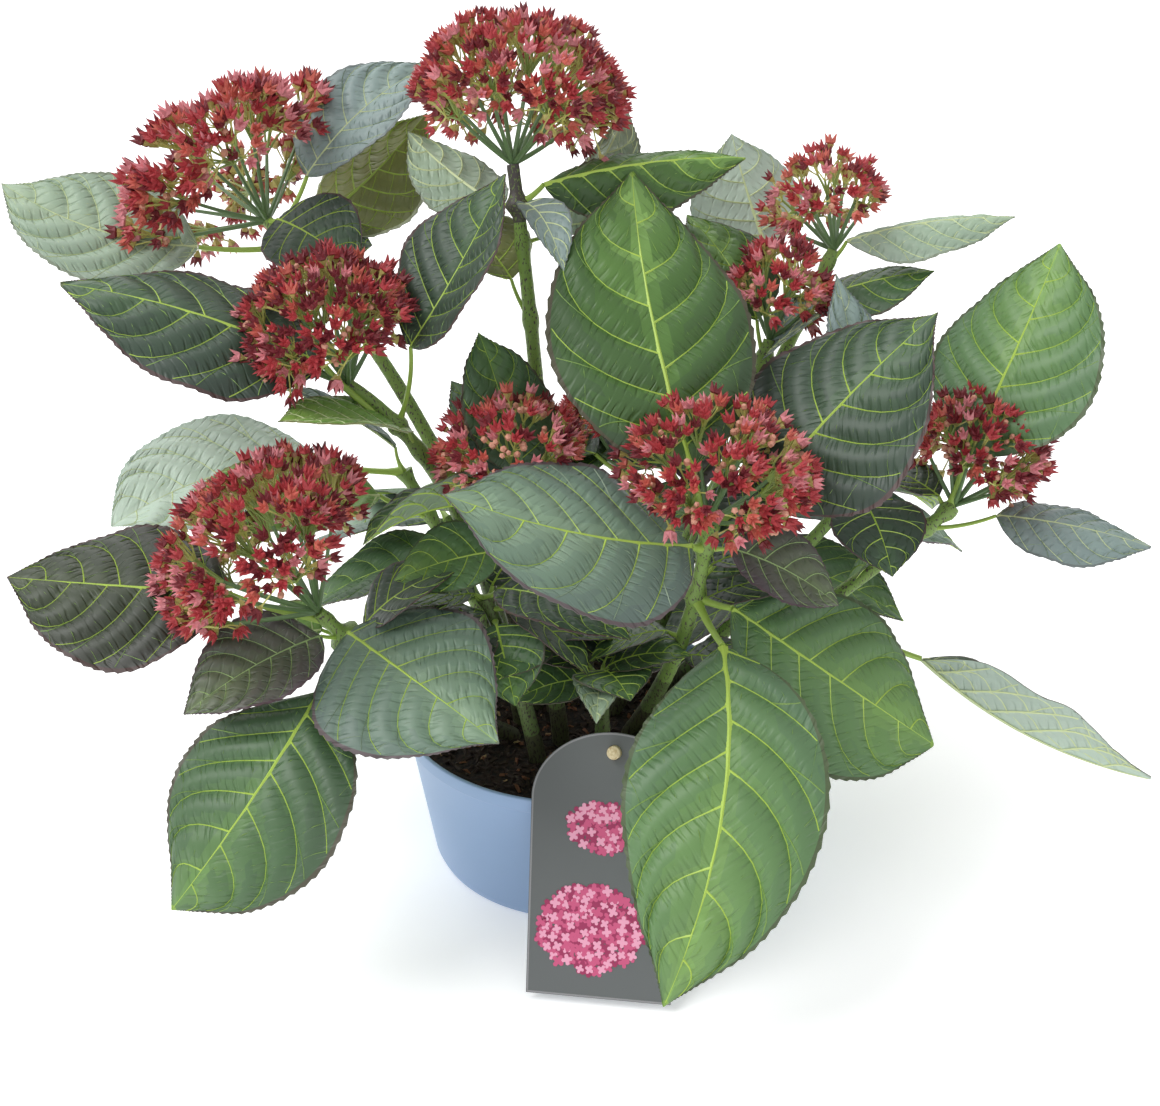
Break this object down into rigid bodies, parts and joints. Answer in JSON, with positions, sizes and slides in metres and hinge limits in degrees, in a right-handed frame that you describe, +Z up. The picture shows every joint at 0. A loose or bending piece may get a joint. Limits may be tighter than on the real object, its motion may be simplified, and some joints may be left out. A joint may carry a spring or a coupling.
{
  "type": "potted hydrangea shrub",
  "caption": "Low spreading flowering shrub with broad ribbed leaves and domed flower heads, in a wide round pot with a leaning plant label.",
  "frame": {"origin": "middle of the pot's flat underside, on the surface it stands on", "axes": "+Z up through the plant, -Y towards the front with the label, +X to the right seen from the front"},
  "size_m": [0.609, 0.4556, 0.4519],
  "materials": {
    "pot": "matte slate blue moulded plastic",
    "compost": "damp crumbly compost with bark",
    "card": "charcoal laminated card",
    "peg": "pale turned wood",
    "cane": "green stem with dark purple speckles",
    "foliage": "ribbed dark green leaves with lime veins and crimson florets"
  },
  "bodies": {
    "root": {"pot": "pot", "compost": "compost", "label_card": "card", "label_peg": "peg", "cane_tall": "cane", "foliage_tall": "foliage", "cane_upper_left": "cane", "foliage_upper_left": "foliage", "cane_middle_left": "cane", "foliage_middle_left": "foliage", "cane_front_left": "cane", "foliage_front_left": "foliage", "cane_centre": "cane", "foliage_centre": "foliage", "cane_front_right": "cane", "foliage_front_right": "foliage", "cane_right": "cane", "foliage_right": "foliage", "cane_upper_right": "cane", "foliage_upper_right": "foliage", "cane_inner_right": "cane", "foliage_inner_right": "foliage", "cane_leafy_right": "cane", "foliage_leafy_right": "foliage", "cane_leafy_left": "cane", "foliage_leafy_left": "foliage", "cane_leafy_front": "cane", "foliage_leafy_front": "foliage", "cane_leafy_low": "cane", "foliage_leafy_low": "foliage", "cane_back": "cane", "foliage_back": "foliage", "cane_back_right": "cane", "foliage_back_right": "foliage", "cane_back_left": "cane", "foliage_back_left": "foliage"}
  },
  "joints": []
}
